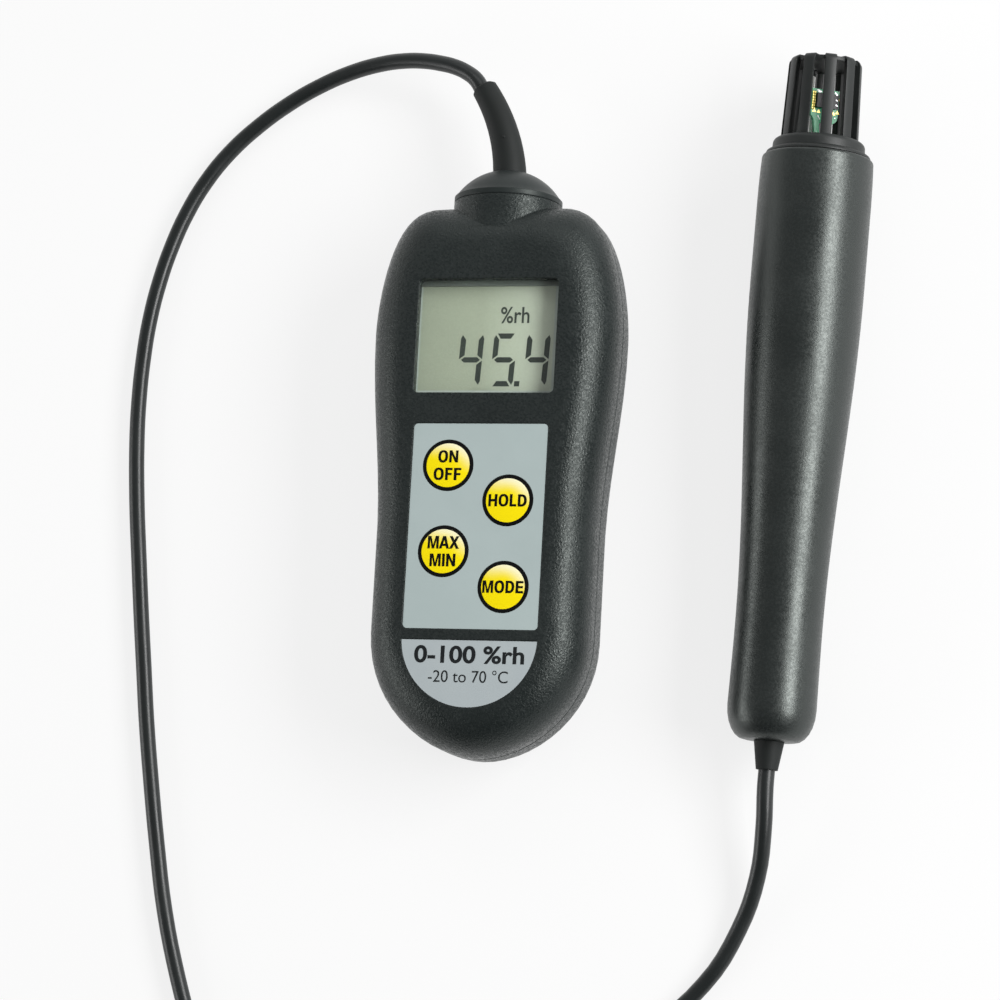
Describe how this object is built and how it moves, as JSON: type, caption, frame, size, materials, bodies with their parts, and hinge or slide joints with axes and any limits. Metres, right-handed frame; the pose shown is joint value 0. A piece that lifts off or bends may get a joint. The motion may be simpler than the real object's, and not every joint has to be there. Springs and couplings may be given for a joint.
{
  "type": "thermo-hygrometer",
  "caption": "Hand-held thermo-hygrometer: waisted case with a display window and round keys, a domed lead end, and a humidity probe with a slotted guard on a thin lead.",
  "frame": {"origin": "on the flat back face, half way along the meter and on its centre line", "axes": "+Y along the meter towards the lead end, +Z out of the front face, +X across the meter towards the probe"},
  "size_m": [0.1665, 0.2719, 0.0251],
  "materials": {
    "case_plastic": "charcoal black ABS with a fine spark texture",
    "guard_plastic": "dark grey moulded ABS, satin",
    "soft_plastic": "soft black PVC, satin",
    "clear_window": "clear flat acrylic",
    "display_glass": "grey-green reflective liquid crystal cell",
    "inner_plastic": "moulded black plastic",
    "contact_rubber": "pink layered contact rubber",
    "printed_film": "grey printed polyester, satin",
    "key_film": "yellow printed key with a black ring, glossy",
    "board": "green solder mask",
    "chip_plastic": "black moulded epoxy",
    "screw_steel": "zinc-plated steel",
    "contact_steel": "nickel-plated spring steel",
    "wire_cover": "thin insulated wires in four colours",
    "seal_rubber": "black nitrile rubber",
    "gold_plate": "soldered gold-plated pads",
    "white_sleeve": "white sleeve on a thermistor lead",
    "lead_cover": "round black PVC lead, satin",
    "tie_plastic": "black nylon hook-and-loop tie",
    "battery_sleeve": "plain printed battery sleeve"
  },
  "bodies": {
    "meter": {"front_shell": "case_plastic", "rear_shell": "case_plastic", "end_cap": "case_plastic", "strain_relief": "soft_plastic", "display_window": "clear_window", "lcd_cell": "display_glass", "lcd_frame": "inner_plastic", "contact_strips": "contact_rubber", "keypad_overlay": "printed_film", "bottom_label": "printed_film", "circuit_board": "board", "main_chip": "chip_plastic", "small_chips": "chip_plastic", "switch_housings": "inner_plastic", "board_screws": "screw_steel", "case_screws": "screw_steel", "battery_springs": "contact_steel", "battery_plates": "contact_steel", "signal_wires": "wire_cover", "battery_1": "battery_sleeve", "battery_2": "battery_sleeve", "battery_3": "battery_sleeve", "probe_handle": "case_plastic", "sensor_board": "board", "humidity_sensor": "chip_plastic", "sensor_pads": "gold_plate", "temperature_sensor": "white_sleeve", "sensor_carrier": "inner_plastic", "probe_grommet": "soft_plastic", "probe_wires": "wire_cover", "cord_meter_run": "lead_cover", "cord_coil": "lead_cover", "cord_probe_run": "lead_cover", "cord_tie": "tie_plastic"},
    "key_on_off": {"key_on_off": "key_film", "plunger_on_off": "inner_plastic"},
    "key_hold": {"key_hold": "key_film", "plunger_hold": "inner_plastic"},
    "key_max_min": {"key_max_min": "key_film", "plunger_max_min": "inner_plastic"},
    "key_mode": {"key_mode": "key_film", "plunger_mode": "inner_plastic"},
    "cover": {"battery_cover": "case_plastic"},
    "guard": {"sensor_guard": "guard_plastic", "guard_seal": "seal_rubber"}
  },
  "joints": [
    {"name": "key_on_off_press", "type": "slide", "parent": "meter", "child": "key_on_off", "axis": [0, 0, -1], "range_m": [0, 0.00035], "stiffness_N_per_m": 2000},
    {"name": "key_hold_press", "type": "slide", "parent": "meter", "child": "key_hold", "axis": [0, 0, -1], "range_m": [0, 0.00035], "stiffness_N_per_m": 2000},
    {"name": "key_max_min_press", "type": "slide", "parent": "meter", "child": "key_max_min", "axis": [0, 0, -1], "range_m": [0, 0.00035], "stiffness_N_per_m": 2000},
    {"name": "key_mode_press", "type": "slide", "parent": "meter", "child": "key_mode", "axis": [0, 0, -1], "range_m": [0, 0.00035], "stiffness_N_per_m": 2000},
    {"name": "cover_slide", "type": "slide", "parent": "meter", "child": "cover", "axis": [0, -1, 0], "range_m": [0, 0.05]},
    {"name": "guard_slide", "type": "slide", "parent": "meter", "child": "guard", "axis": [0.048, 0.9983, 0.0323], "range_m": [0, 0.026]}
  ]
}
